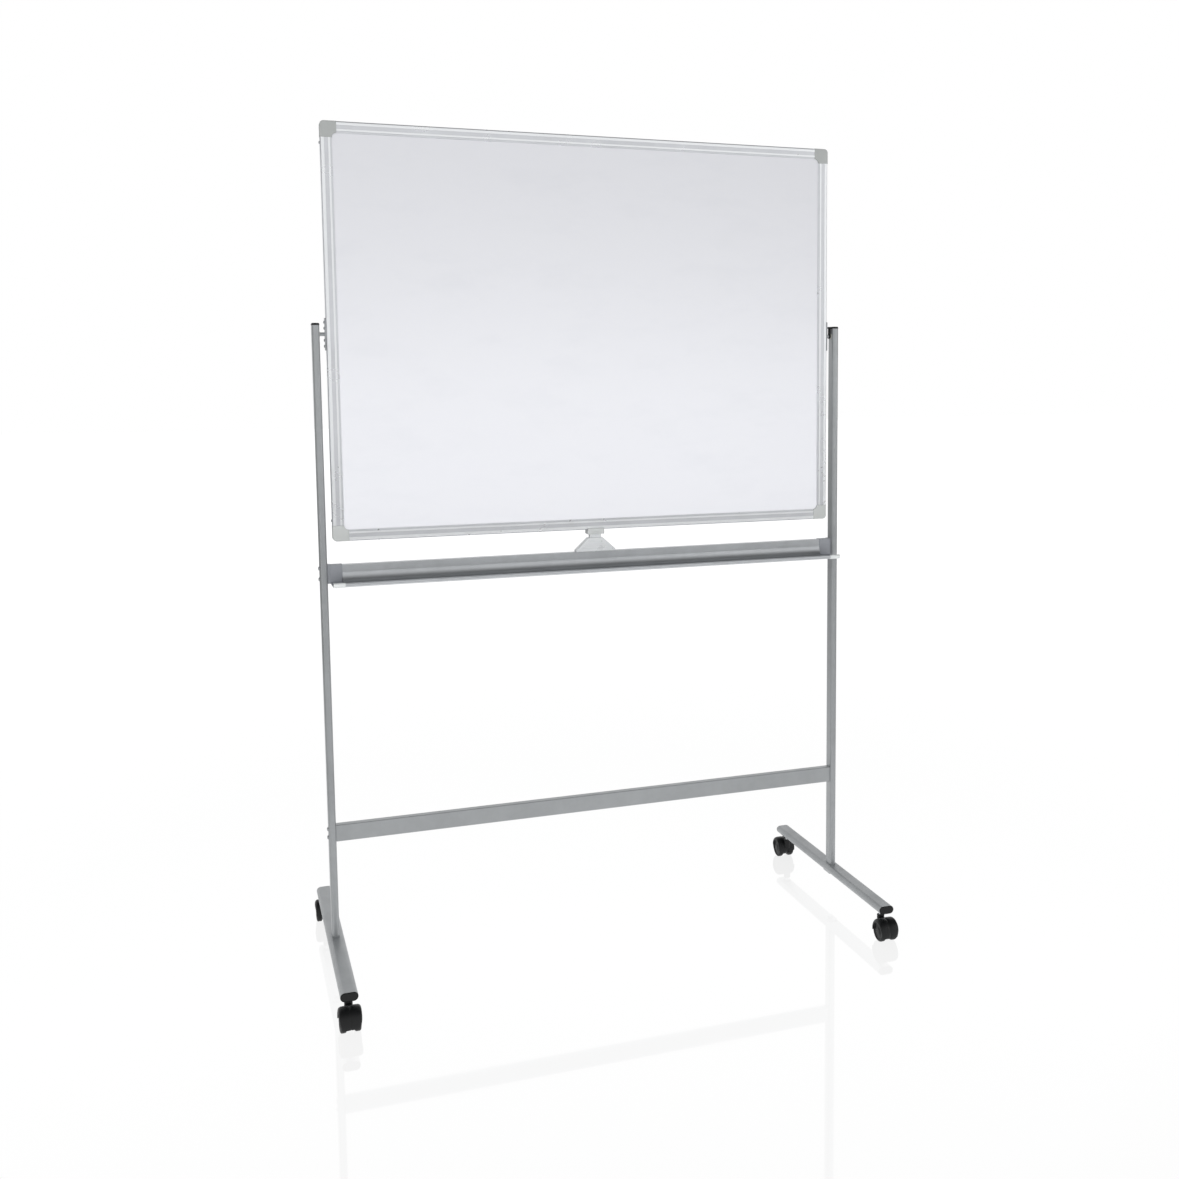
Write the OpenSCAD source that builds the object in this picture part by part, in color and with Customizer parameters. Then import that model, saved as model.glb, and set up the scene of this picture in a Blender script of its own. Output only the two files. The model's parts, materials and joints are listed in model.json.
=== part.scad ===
// Rolling whiteboard: a double-sided board that turns over between two posts on a wheeled stand.
// Millimetres, +Z up, +X along the board, the front faces -Y.
// The origin is on the floor, midway between the posts and midway between the wheels.

/* [Board] */
// Overall width of the framed board
board_w = 1200; // [900:10:1500]
// Overall height of the framed board
board_h = 908; // [800:4:940]
// Thickness of the frame rails
board_t = 18; // [17:0.5:20]
// Width of a frame rail, seen from the front
rail_w = 25; // [24:1:30]
// Length of a corner cap along each edge
corner_l = 35; // [34:1:44]
// Thickness of each writing sheet
sheet_t = 0.4; // [0.3:0.1:0.8]

/* [Stand] */
// Height of the pivot axis above the floor
pivot_h = 1438; // [1400:1:1500]
// Width of a post, along X
post_w = 16; // [15:0.5:20]
// Depth of a post, along Y
post_d = 30; // [28:1:36]
// Gap between the board's edge and a post
post_gap = 14; // [14:0.5:18]
// Height of a post's end above the pivot axis
post_rise = 22; // [20:1:30]
// Height of the lower crossbar's middle above the floor
crossbar_z = 323; // [200:1:600]
// Height of the lower crossbar's section
crossbar_h = 38; // [34:1:50]
// Depth of the lower crossbar's section
crossbar_d = 19; // [16:1:24]
// Length of a foot tube, without its end caps
foot_l = 606; // [560:2:700]
// Width of a foot tube
foot_w = 37; // [34:1:44]
// Height of a foot tube
foot_h = 19; // [18:1:24]

/* [Pen tray] */
// Gap between the board's lower edge and the tray's top edge
tray_gap = 52; // [50:1:60]
// Height of the tray's box section
tray_h = 41; // [38:1:50]
// Depth of the tray's box section
tray_box_d = 16; // [14:1:20]
// Distance of the front lip ahead of the box section
tray_reach = 66; // [60:1:80]
// Height of the front lip
lip_h = 9; // [7:0.5:12]
// Length of a tray end cap
tray_cap_l = 25; // [12:1:30]

/* [Casters] */
// Wheel radius
wheel_r = 25; // [23:0.5:26]
// Wheel width
wheel_w = 13.2; // [12:0.2:13.6]
// Distance of the axle from the swivel axis
trail = 25; // [22:1:26]
// Distance of the swivel axis from a foot tube's end
stem_inset = 28; // [26:1:40]
// Height of the foot tubes' underside above the floor
caster_h = 65.5; // [65:0.5:70]

/* [Hidden] */
$fn = 48;

// fits: a gap between fixed pieces, a running gap on a shaft, and a gap between moving faces
fixed_gap = 0.1;
running_gap = 0.05;
free_gap = 0.4;
tube_wall = 1.5;
// how far a cutting shape runs past the face that it cuts
past = 1;

// board
half_w = board_w / 2;
half_h = board_h / 2;
panel_half_t = 6.2;
panel_inset = 9.3;
slot_half_t = panel_half_t + running_gap;
chamber_low = rail_w - 7.5;
chamber_high = rail_w - 1.5;
chamber_half_t = 7;
ridge_low = 4;
groove_low = 8;
groove_high = 16.5;
groove_depth = 0.9;
step_depth = 1.4;
rail_edge_r = 4;
corner_r = 9;
corner_proud = 0.3;
leg_l = 40;
leg_gap = 0.3;
corner_screw_offset = 46;
corner_screw_r = 1.6;
corner_screw_l = 6.5;
screw_depth = 3;

// pivot
pivot_r = 4;
plate_half_l = 35;
plate_half_d = 7;
plate_t = 2.5;
plate_screw_offsets = [-26, -13, 13, 26];
plate_screw_r = 2;
plate_screw_l = 8.5;
plate_r = 3;
pin_end_gap = 1.5;
bush_r = 6;
bush_flange_r = 7;
bush_flange_t = 0.8;

// posts and feet
post_x = half_w + post_gap + post_w / 2;
post_r = 6;
post_inner_x = post_x - post_w / 2;
post_outer_x = post_x + post_w / 2;
foot_top = caster_h + foot_h;
post_end = pivot_h + post_rise;
cap_t = 2;
foot_cap_t = 3;
foot_plug_l = 12;
foot_bolt_r = 4;
foot_bolt_hole_r = foot_bolt_r + 0.3;
foot_bolt_head_r = 7.2;
foot_bolt_head_h = 5;
foot_plate_t = 3;
foot_plate_w = 24;
foot_plate_l = 40;
foot_plate_r = 4;
insert_h = 24;
insert_roof = 4;
socket_r = 7;
socket_flange_t = 1.5;
stem_r = 5;
stem_low = 34;
stem_y = foot_l / 2 - stem_inset;

// crossbar, tray and their screws
crossbar_screw_offsets = [-9.5, 9.5];
crossbar_r = 2;
crossbar_inner_r = 0.6;
crossbar_plug_l = 24;
frame_screw_grip = 18;
frame_screw_head_r = 4.6;
frame_screw_head_h = 2.8;
screw_tip_room = 4;
tray_top = pivot_h - half_h - tray_gap;
tray_screw_drops = [7, 31];
screw_r = 2.5;
tray_wall = 2;
tray_floor_t = 2.5;
tray_bend_r = 22;
bracket_t = 7;
bracket_proud = 1.5;
tongue_grip = 22;
tray_cap_x = post_inner_x - bracket_t;
tray_x = tray_cap_x - tray_cap_l;
tray_cap_skin = 0.8;
lip_cap_d = 12;

// catch under the board
latch_half_w = 48;
latch_top_half_w = 17;
latch_half_d = 10;
latch_h = tray_gap - 19;
latch_foot_h = 4;
latch_floor_t = 3;
latch_rib_pitch = 5;
latch_rib_inset = 7;
latch_rib_w = 1.6;
latch_rib_depth = 0.5;
neck_half_w = 13.5;
neck_half_d = 5.2;
fork_half_w = 20;
fork_half_d = 12;
fork_bed_h = 10.2;
fork_h = 14;
fork_lead_in = 0.8;
thumb_r = 20;
thumb_drop = 14;
thumb_depth = 1.2;
fork_z = pivot_h - half_h - free_gap - fork_bed_h;
neck_low = tray_top + 16;

// lever on the right pivot
lever_t = 4.6;
lever_hub_r = 6.5;
lever_arm_w = 9;
lever_tab_w = 15;
lever_tab_h = 4.4;
lever_tab_reach = 3;
lever_x = post_inner_x - bush_flange_t - free_gap - lever_t;

// casters
wheel_in = 8;
wheel_edge_r = 3;
wheel_wall = 0.9;
dish_low = 9;
dish_w = 9.5;
outer_dish_depth = 1.6;
inner_dish_depth = 2;
axle_r = 3;
axle_half_l = wheel_in + wheel_w - 1.2;
hood_half_w = wheel_in + wheel_w + 2.3;
hood_skirt_t = 1.6;
hood_out = wheel_r + 3.5;
hood_in = wheel_r + 1.2;
hood_skirt_in = wheel_r - 4.5;
hood_shoulder = 4;
hood_front = -20;
hood_back = 190;
web_half_w = 5.5;
web_r = 19.5;
web_back = 8;
axle_boss_r = 7;
axle_boss_gap = 0.3;
boss_r = 9;
boss_drop = 6;
press_gap = 0.02;
hood_inner_gap = 0.7;
hood_groove_w = 3;
hood_groove_depth = 1.3;
hood_groove_end = 42;

// ---- shapes that repeat ----

// A rectangle with round corners, centred
module rounded_rect(w, h, r) {
    square([w - 2 * r, h], center = true);
    square([w, h - 2 * r], center = true);
    for (x = [-1, 1], y = [-1, 1]) {
        translate([x * (w / 2 - r), y * (h / 2 - r)]) circle(r);
    }
}

// A flat oval: straight top and bottom, half-round ends
module flat_oval(w, h) {
    square([w - h, h], center = true);
    for (x = [-1, 1]) translate([x * (w - h) / 2, 0]) circle(h / 2);
}

// A cylinder lying along X, from x0 to x1
module rod_x(x0, x1, r) {
    translate([x0, 0, 0]) rotate([0, 90, 0]) cylinder(h = x1 - x0, r = r);
}

// A button-head screw lying along X: its head's seat is at x = 0 and its shank runs to -X
module screw_x(shank_l, r, head_r, head_h) {
    difference() {
        union() {
            rod_x(-shank_l, past / 2, r);
            rod_x(0, head_h * 0.6, head_r);
            rod_x(head_h * 0.5, head_h, head_r * 0.75);
        }
        translate([head_h * 0.5, 0, 0]) rotate([0, 90, 0]) cylinder(h = head_h, r = r * 0.6, $fn = 6);
    }
}

// Children on the +X side and their mirror image on the -X side
module both_sides() {
    children();
    mirror([1, 0, 0]) children();
}

// ---- posts ----

module post_section(inset) {
    rounded_rect(post_w - 2 * inset, post_d - 2 * inset, post_r - inset);
}

// The right post; the left one is its mirror image
module post() {
    difference() {
        translate([post_x, 0, foot_top]) linear_extrude(post_end - foot_top) difference() {
            post_section(0);
            post_section(tube_wall);
        }
        translate([0, 0, pivot_h]) rod_x(post_inner_x - past, post_x, bush_r + fixed_gap);
        for (z = concat([for (drop = tray_screw_drops) tray_top - drop],
                        [for (offset = crossbar_screw_offsets) crossbar_z + offset])) {
            translate([0, 0, z]) rod_x(post_inner_x - past, post_outer_x + past, screw_r + fixed_gap);
        }
    }
}

module left_post() { color("#969ba0") mirror([1, 0, 0]) post(); }
module right_post() { color("#969ba0") post(); }

module post_caps() {
    color("#202224") both_sides() translate([post_x, 0, post_end]) {
        linear_extrude(cap_t) post_section(0);
        translate([0, 0, -cap_t * 5]) linear_extrude(cap_t * 5) post_section(tube_wall + fixed_gap);
    }
}

// Threaded blocks in the posts' lower ends, which the foot bolts pull down on
module post_inserts() {
    color("#6d7073") both_sides() translate([post_x, 0, foot_top]) difference() {
        linear_extrude(insert_h) post_section(tube_wall + fixed_gap);
        translate([0, 0, -past]) cylinder(h = insert_h - insert_roof, r = foot_bolt_r + running_gap);
    }
}

module pivot_bushes() {
    color("#d9d9d2") both_sides() translate([0, 0, pivot_h]) difference() {
        union() {
            rod_x(post_inner_x - bush_flange_t, post_inner_x, bush_flange_r);
            rod_x(post_inner_x - bush_flange_t / 2, post_outer_x - tube_wall - fixed_gap, bush_r);
        }
        rod_x(post_inner_x - 2 * past, post_outer_x, pivot_r + running_gap);
    }
}

// ---- feet ----

module foot() {
    difference() {
        translate([post_x, 0, caster_h + foot_h / 2]) rotate([90, 0, 0])
            linear_extrude(foot_l, center = true) difference() {
                flat_oval(foot_w, foot_h);
                flat_oval(foot_w - 2 * tube_wall, foot_h - 2 * tube_wall);
            }
        translate([post_x, 0, caster_h - past]) cylinder(h = foot_h + 2 * past, r = foot_bolt_hole_r);
        for (y = [-stem_y, stem_y]) translate([post_x, y, caster_h - past])
            cylinder(h = tube_wall + 2 * past, r = socket_r + fixed_gap);
    }
}

module left_foot() { color("#9ea09d") mirror([1, 0, 0]) foot(); }
module right_foot() { color("#9ea09d") foot(); }

module foot_end_caps() {
    plug_w = foot_w - 2 * tube_wall - 2 * fixed_gap;
    plug_h = foot_h - 2 * tube_wall - 2 * fixed_gap;
    color("#26282a") both_sides() for (end = [-1, 1]) {
        translate([post_x, end * foot_l / 2, caster_h + foot_h / 2]) rotate([end * -90, 0, 0]) {
            linear_extrude(foot_cap_t - 1) flat_oval(foot_w, foot_h);
            linear_extrude(foot_cap_t) flat_oval(foot_w - 2, foot_h - 2);
            translate([0, 0, -foot_plug_l]) linear_extrude(foot_plug_l + past) flat_oval(plug_w, plug_h);
        }
    }
}

module foot_plates() {
    color("#8a8d90") both_sides() translate([post_x, 0, caster_h - foot_plate_t]) difference() {
        linear_extrude(foot_plate_t) rounded_rect(foot_plate_w, foot_plate_l, foot_plate_r);
        translate([0, 0, -past]) cylinder(h = foot_plate_t + 2 * past, r = foot_bolt_hole_r);
    }
}

module foot_bolts() {
    color("#b9bcbf") both_sides() translate([post_x, 0, caster_h - foot_plate_t]) {
        cylinder(h = foot_plate_t + foot_h + insert_h - 2 * insert_roof, r = foot_bolt_r);
        translate([0, 0, -foot_bolt_head_h])
            cylinder(h = foot_bolt_head_h, r = foot_bolt_head_r, $fn = 6);
    }
}

module caster_sockets() {
    color("#3a3c3e") both_sides() for (y = [-stem_y, stem_y]) translate([post_x, y, 0]) difference() {
        union() {
            translate([0, 0, caster_h - socket_flange_t])
                cylinder(h = socket_flange_t, r = socket_r + socket_flange_t);
            translate([0, 0, caster_h - socket_flange_t / 3])
                cylinder(h = foot_h - tube_wall + 0.3, r = socket_r);
        }
        translate([0, 0, caster_h - socket_flange_t - past])
            cylinder(h = foot_h + socket_flange_t, r = stem_r + running_gap);
    }
}

// ---- crossbar and pen tray ----

module lower_crossbar() {
    color("#91949a") translate([0, 0, crossbar_z]) rotate([90, 0, 90])
        linear_extrude(2 * post_inner_x, center = true) difference() {
            rounded_rect(crossbar_d, crossbar_h, crossbar_r);
            rounded_rect(crossbar_d - 2 * tube_wall, crossbar_h - 2 * tube_wall, crossbar_inner_r);
        }
}

module crossbar_plugs() {
    plug_d = crossbar_d - 2 * tube_wall - 2 * fixed_gap;
    plug_h = crossbar_h - 2 * tube_wall - 2 * fixed_gap;
    color("#6d7073") both_sides() translate([0, 0, crossbar_z]) difference() {
        translate([post_inner_x - crossbar_plug_l, 0, 0]) rotate([90, 0, 90])
            linear_extrude(crossbar_plug_l) rounded_rect(plug_d, plug_h, crossbar_inner_r);
        for (offset = crossbar_screw_offsets) translate([0, 0, offset])
            rod_x(post_inner_x - crossbar_plug_l + screw_tip_room, post_inner_x + past,
                  screw_r + running_gap);
    }
}

// The tray's section in the Y-Z plane, in four parts: a box, a hollow bend, a floor and a rounded
// lip. A skin thickens a part on every side. Local origin: the box's top, mid-depth.
tray_front = -tray_box_d / 2;
lip_r = 3.6;
lip_y = tray_front - tray_reach + lip_r;
module tray_box(skin) {
    translate([tray_front - skin, -tray_h - skin]) square([tray_box_d + 2 * skin, tray_h + 2 * skin]);
}

module tray_bend() {
    bend_z = -tray_h + tray_floor_t + tray_bend_r;
    bend_y = tray_front - tray_bend_r;
    intersection() {
        difference() {
            translate([bend_y, bend_z]) circle(tray_bend_r + tray_wall);
            translate([bend_y, bend_z]) circle(tray_bend_r);
        }
        translate([bend_y, bend_z - 2 * tray_bend_r]) square(2 * tray_bend_r);
    }
}

module tray_floor(skin, from, to) {
    translate([from, -tray_h - skin]) square([to - from, tray_floor_t + 2 * skin]);
}

module tray_lip(skin) {
    reach = lip_r + skin;
    translate([lip_y, -tray_h + lip_r]) circle(reach);
    translate([lip_y, -tray_h + lip_h - lip_r]) circle(reach);
    translate([lip_y - reach, -tray_h + lip_r]) square([2 * reach, lip_h - 2 * lip_r]);
    translate([lip_y, -tray_h - skin]) square([reach, reach + past]);
}

module tray_hollow(gap) {
    translate([tray_front + tray_wall + gap, -tray_h + tray_wall + gap])
        square([tray_box_d - 2 * (tray_wall + gap), tray_h - 2 * (tray_wall + gap)]);
}

module pen_tray() {
    color("#989c9f") translate([0, 0, tray_top]) rotate([90, 0, 90])
        linear_extrude(2 * tray_x, center = true) difference() {
            union() {
                tray_box(0);
                tray_bend();
                tray_floor(0, lip_y, tray_front + past);
                tray_lip(0);
            }
            tray_hollow(0);
        }
}

// Closes the tray's end behind the lip
module tray_cap() {
    translate([tray_x, 0, tray_top]) rotate([90, 0, 90]) linear_extrude(tray_cap_l) difference() {
        union() {
            tray_box(tray_cap_skin);
            tray_floor(tray_cap_skin, lip_y + lip_cap_d + fixed_gap, tray_front + past);
        }
        tray_hollow(0);
    }
}

module left_tray_cap() { color("#969a9e") mirror([1, 0, 0]) tray_cap(); }
module right_tray_cap() { color("#969a9e") tray_cap(); }

module lip_end_caps() {
    color("#c8cccc") both_sides() translate([tray_x, 0, tray_top]) rotate([90, 0, 90])
        linear_extrude(tray_cap_l) {
            tray_lip(tray_cap_skin);
            tray_floor(tray_cap_skin, lip_y, lip_y + lip_cap_d);
        }
}

// End plates with a tongue that runs through the cap into the tray's box section
module tray_brackets() {
    tongue_l = tray_cap_l + tongue_grip;
    color("#93979a") both_sides() translate([0, 0, tray_top]) difference() {
        union() {
            translate([tray_cap_x, tray_front, -tray_h])
                cube([bracket_t, tray_box_d, tray_h + bracket_proud]);
            translate([tray_cap_x - tongue_l, 0, 0]) rotate([90, 0, 90])
                linear_extrude(tongue_l + past) tray_hollow(fixed_gap);
        }
        for (drop = tray_screw_drops) translate([0, 0, -drop])
            rod_x(post_inner_x - frame_screw_grip - screw_tip_room, post_inner_x + past,
                  screw_r + running_gap);
    }
}

module frame_screws() {
    color("#a9abad") both_sides() {
        for (z = concat([for (drop = tray_screw_drops) tray_top - drop],
                        [for (offset = crossbar_screw_offsets) crossbar_z + offset])) {
            translate([post_outer_x, 0, z])
                screw_x(post_w + frame_screw_grip, screw_r, frame_screw_head_r, frame_screw_head_h);
        }
    }
}

// ---- catch ----

module latch_housing() {
    color("#cfd2d4") translate([0, 0, tray_top]) difference() {
        rotate([90, 0, 0]) linear_extrude(2 * latch_half_d, center = true) polygon([
            [-latch_half_w, 0], [latch_half_w, 0], [latch_half_w, latch_foot_h],
            [latch_top_half_w, latch_h], [-latch_top_half_w, latch_h], [-latch_half_w, latch_foot_h]]);
        translate([-neck_half_w - free_gap, -neck_half_d - free_gap, latch_floor_t])
            cube([2 * (neck_half_w + free_gap), 2 * (neck_half_d + free_gap), latch_h]);
        for (side = [-1, 1], row = [1:4]) {
            z = latch_foot_h + row * latch_rib_pitch;
            half_l = latch_half_w - row * latch_rib_pitch - latch_rib_inset;
            translate([-half_l, side * latch_half_d - latch_rib_depth, z])
                cube([2 * half_l, 2 * latch_rib_depth, latch_rib_w]);
        }
    }
}

// A coil spring: rings of the wire's section along a helix
spring_turns = 5;
spring_r = 3.8;
spring_wire_r = 0.6;
spring_steps = 15;
spring_sides = 8;
module latch_spring() {
    low = tray_top + latch_floor_t + spring_wire_r + fixed_gap;
    high = neck_low - spring_wire_r - fixed_gap;
    rings = spring_turns * spring_steps;
    points = [for (i = [0:rings], j = [0:spring_sides - 1])
        let (turn = 360 * i / spring_steps, side = 360 * j / spring_sides,
             r = spring_r + spring_wire_r * cos(side))
        [r * cos(turn), r * sin(turn), low + (high - low) * i / rings + spring_wire_r * sin(side)]];
    walls = [for (i = [0:rings - 1], j = [0:spring_sides - 1])
        let (next = (j + 1) % spring_sides, a = i * spring_sides)
        [a + j, a + next, a + spring_sides + next, a + spring_sides + j]];
    ends = [[for (j = [spring_sides - 1:-1:0]) j],
            [for (j = [0:spring_sides - 1]) rings * spring_sides + j]];
    color("#8f9295") polyhedron(points, concat(walls, ends), convexity = 6);
}

module latch_plunger() {
    color("#c9cccf") translate([-neck_half_w, -neck_half_d, neck_low])
        cube([2 * neck_half_w, 2 * neck_half_d, fork_z - neck_low]);
}

// The head grips the rail from below between a front and a rear prong
module latch_fork() {
    bed_half = board_t / 2 + free_gap;
    color("#8d9190") translate([0, 0, fork_z]) difference() {
        rotate([90, 0, 90]) linear_extrude(2 * fork_half_w, center = true) polygon([
            [-fork_half_d, 0], [fork_half_d, 0], [fork_half_d, fork_h - 1], [fork_half_d - 1, fork_h],
            [bed_half + fork_lead_in, fork_h], [bed_half, fork_h - 2], [bed_half, fork_bed_h],
            [-bed_half, fork_bed_h], [-bed_half, fork_h - 2], [-bed_half - fork_lead_in, fork_h],
            [1 - fork_half_d, fork_h], [-fork_half_d, fork_h - 1]]);
        for (side = [-1, 1]) translate([0, side * fork_half_d, -thumb_drop]) rotate([90, 0, 0])
            cylinder(h = 2 * thumb_depth, r = thumb_r, center = true);
    }
}

// ---- lever on the right pivot ----

module lock_lever() {
    color("#1c1d1f") translate([0, 0, pivot_h]) difference() {
        union() {
            rod_x(lever_x, lever_x + lever_t, lever_hub_r);
            translate([lever_x, -lever_arm_w / 2, 0]) cube([lever_t, lever_arm_w, post_rise - 1]);
            translate([lever_x - lever_tab_reach, -lever_tab_w / 2, post_rise - 3])
                cube([lever_t + lever_tab_reach, lever_tab_w, lever_tab_h]);
        }
        rod_x(lever_x - past, lever_x + lever_t + past, pivot_r + running_gap);
    }
}

// ---- board ----

// A block centred on the board, inset from its edges, from y0 to y1
module panel_layer(y0, y1) {
    translate([-half_w + panel_inset, y0, pivot_h - half_h + panel_inset])
        cube([board_w - 2 * panel_inset, y1 - y0, board_h - 2 * panel_inset]);
}

module board_core() {
    color("#c9a978") panel_layer(-panel_half_t + sheet_t, panel_half_t - sheet_t);
}
module front_sheet() { color("#e8eaed") panel_layer(-panel_half_t, -panel_half_t + sheet_t); }
module back_sheet() { color("#e8eaed") panel_layer(panel_half_t - sheet_t, panel_half_t); }

// A rail's section: x runs from the lip's inner edge out to the board's edge, y is through the
// board. Each face has two ridges with a groove between them and a lower step at the inner edge.
module rail_section() {
    half_t = board_t / 2;
    difference() {
        union() {
            translate([0, -half_t]) square([rail_w - rail_edge_r, board_t]);
            translate([0, -half_t + rail_edge_r]) square([rail_w, board_t - 2 * rail_edge_r]);
            for (side = [-1, 1]) translate([rail_w - rail_edge_r, side * (half_t - rail_edge_r)])
                circle(rail_edge_r);
        }
        translate([-past, -slot_half_t]) square([rail_w - panel_inset + fixed_gap + past, 2 * slot_half_t]);
        translate([chamber_low, -chamber_half_t])
            square([chamber_high - chamber_low, 2 * chamber_half_t]);
        for (side = [-1, 1]) {
            translate([groove_low, side * half_t - groove_depth])
                square([groove_high - groove_low, 2 * groove_depth]);
            translate([-past, side * half_t - step_depth]) square([ridge_low + past, 2 * step_depth]);
        }
    }
}

// The right-hand rail stands along Z; its outer edge is at x = half_w
module side_rail() {
    difference() {
        translate([half_w - rail_w, 0, pivot_h - half_h + corner_l])
            linear_extrude(board_h - 2 * corner_l) rail_section();
        for (offset = plate_screw_offsets) translate([0, 0, pivot_h + offset])
            rod_x(half_w - screw_depth, half_w + past, plate_screw_r + fixed_gap);
        for (side = [-1, 1]) translate([0, 0, pivot_h + side * (half_h - corner_screw_offset)])
            rod_x(half_w - screw_depth, half_w + past, plate_screw_r);
    }
}

// The top rail lies along X; its outer edge is at z = pivot_h + half_h
module long_rail() {
    translate([0, 0, pivot_h + half_h - rail_w]) rotate([0, -90, 0])
        linear_extrude(board_w - 2 * corner_l, center = true) rail_section();
}

module top_rail() { color("#d5d7d8") long_rail(); }
module bottom_rail() {
    color("#d5d7d8") translate([0, 0, 2 * pivot_h]) mirror([0, 0, 1]) long_rail();
}
module left_rail() { color("#d5d7d8") mirror([1, 0, 0]) side_rail(); }
module right_rail() { color("#d5d7d8") side_rail(); }

// The bottom left cap, with its corner at the origin and the board towards +X and +Z
module corner_shape() {
    leg_low = rail_w - chamber_high + leg_gap;
    leg_w = chamber_high - chamber_low - 2 * leg_gap;
    leg_half_t = chamber_half_t - leg_gap;
    inner_r = corner_l - rail_w;
    difference() {
        union() {
            rotate([90, 0, 0]) linear_extrude(board_t + 2 * corner_proud, center = true) difference() {
                union() {
                    translate([corner_r, corner_r]) circle(corner_r);
                    translate([corner_r, 0]) square([corner_l - corner_r, corner_l]);
                    translate([0, corner_r]) square([corner_l, corner_l - corner_r]);
                }
                translate([corner_l, corner_l]) circle(inner_r);
            }
            translate([corner_r, -leg_half_t, leg_low])
                cube([corner_l + leg_l - corner_r, 2 * leg_half_t, leg_w]);
            translate([leg_low, -leg_half_t, corner_r])
                cube([leg_w, 2 * leg_half_t, corner_l + leg_l - corner_r]);
        }
        translate([panel_inset - fixed_gap, -slot_half_t, panel_inset - fixed_gap])
            cube([corner_l, 2 * slot_half_t, corner_l]);
        translate([0, 0, corner_screw_offset]) rod_x(-past, corner_l, corner_screw_r + running_gap);
    }
}

module corner_cap(side_x, side_z) {
    color(side_z > 0 ? "#a3a7a5" : "#b9bdbc")
        translate([side_x * half_w, 0, pivot_h + side_z * half_h])
            mirror([side_x > 0 ? 1 : 0, 0, 0]) mirror([0, 0, side_z > 0 ? 1 : 0]) corner_shape();
}

module top_left_corner() { corner_cap(-1, 1); }
module top_right_corner() { corner_cap(1, 1); }
module bottom_left_corner() { corner_cap(-1, -1); }
module bottom_right_corner() { corner_cap(1, -1); }

module corner_screws() {
    color("#8a8d90") both_sides() for (side = [-1, 1]) {
        translate([half_w, 0, pivot_h + side * (half_h - corner_screw_offset)])
            screw_x(corner_screw_l, corner_screw_r, 2 * corner_screw_r, 2);
    }
}

// ---- pivot plates ----

module pivot_plate() {
    translate([0, 0, pivot_h]) difference() {
        union() {
            translate([half_w, 0, 0]) rotate([90, 0, 90])
                linear_extrude(plate_t) rounded_rect(2 * plate_half_d, 2 * plate_half_l, plate_r);
            rod_x(half_w + plate_t / 2, post_outer_x - tube_wall - pin_end_gap, pivot_r);
        }
        for (offset = plate_screw_offsets) translate([0, 0, offset])
            rod_x(half_w - past, half_w + plate_t + past, plate_screw_r + fixed_gap);
    }
}

module left_pivot_plate() { color("#b4b7b9") mirror([1, 0, 0]) pivot_plate(); }
module right_pivot_plate() { color("#b4b7b9") pivot_plate(); }

module pivot_screws() {
    color("#77797c") both_sides() for (offset = plate_screw_offsets) {
        translate([half_w + plate_t, 0, pivot_h + offset])
            screw_x(plate_screw_l, plate_screw_r, 3.3, 2);
    }
}

// ---- casters ----

// Puts a caster made at the origin, with its axle towards -Y, under one end of a foot.
// side is -1 for the left foot, end is -1 for the front. A rear caster trails to the rear.
module at_foot(side, end) {
    translate([side * post_x, end * stem_y, 0]) rotate([0, 0, end > 0 ? 180 : 0]) children();
}

// Puts children's origin on the axle's middle
module at_axle() { translate([0, -trail, wheel_r]) children(); }

// Turns a section about the axle, from one angle to another, where 0 points ahead of the axle
// and 90 points up. The section's x is the radius and its y is along the axle.
module axle_sector(from, to) {
    rotate([0, 90, 0]) rotate([0, 0, -(90 + to)]) rotate_extrude(angle = to - from) children();
}

module hood_section() {
    body_l = hood_out - hood_skirt_in;
    difference() {
        union() {
            translate([hood_skirt_in, -hood_half_w])
                square([body_l - hood_shoulder, 2 * hood_half_w]);
            translate([hood_skirt_in, -hood_half_w + hood_shoulder])
                square([body_l, 2 * (hood_half_w - hood_shoulder)]);
            for (side = [-1, 1])
                translate([hood_out - hood_shoulder, side * (hood_half_w - hood_shoulder)])
                    circle(hood_shoulder);
        }
        translate([hood_skirt_in - past, -hood_half_w + hood_skirt_t])
            square([hood_in - hood_skirt_in + past, 2 * (hood_half_w - hood_skirt_t)]);
    }
}

// The hood covers the wheels, the web carries the axle between them, the boss holds the stem
module hood() {
    boss_top = wheel_r + hood_out + 1;
    color("#2b2c2e") difference() {
        union() {
            at_axle() axle_sector(hood_front, hood_back) hood_section();
            at_axle() rotate([90, 0, 90]) linear_extrude(2 * web_half_w, center = true) {
                circle(web_r);
                intersection() {
                    circle((hood_in + hood_out) / 2);
                    translate([-web_back, 0]) square(2 * hood_out);
                }
            }
            at_axle() rod_x(-wheel_in + axle_boss_gap, wheel_in - axle_boss_gap, axle_boss_r);
            translate([0, 0, stem_low - boss_drop])
                cylinder(h = boss_top - stem_low + boss_drop, r = boss_r);
        }
        for (side = [-1, 1]) at_axle() translate([side * (wheel_in + wheel_w / 2), 0, 0])
            rod_x(-wheel_w / 2 - free_gap, wheel_w / 2 + free_gap, wheel_r + hood_inner_gap);
        translate([0, 0, stem_low]) cylinder(h = boss_top, r = stem_r + press_gap);
        at_axle() rod_x(-2 * wheel_in, 2 * wheel_in, axle_r + press_gap);
        at_axle() axle_sector(hood_front - 5, hood_groove_end)
            translate([hood_out - hood_groove_depth, -hood_groove_w / 2]) square([hood_out, hood_groove_w]);
    }
}

module stem() {
    stem_top = foot_top - tube_wall - 2;
    color("#d0d2d4") translate([0, 0, stem_low]) cylinder(h = stem_top - stem_low, r = stem_r);
}

module axle() { color("#c6c8ca") at_axle() rod_x(-axle_half_l, axle_half_l, axle_r); }

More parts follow.
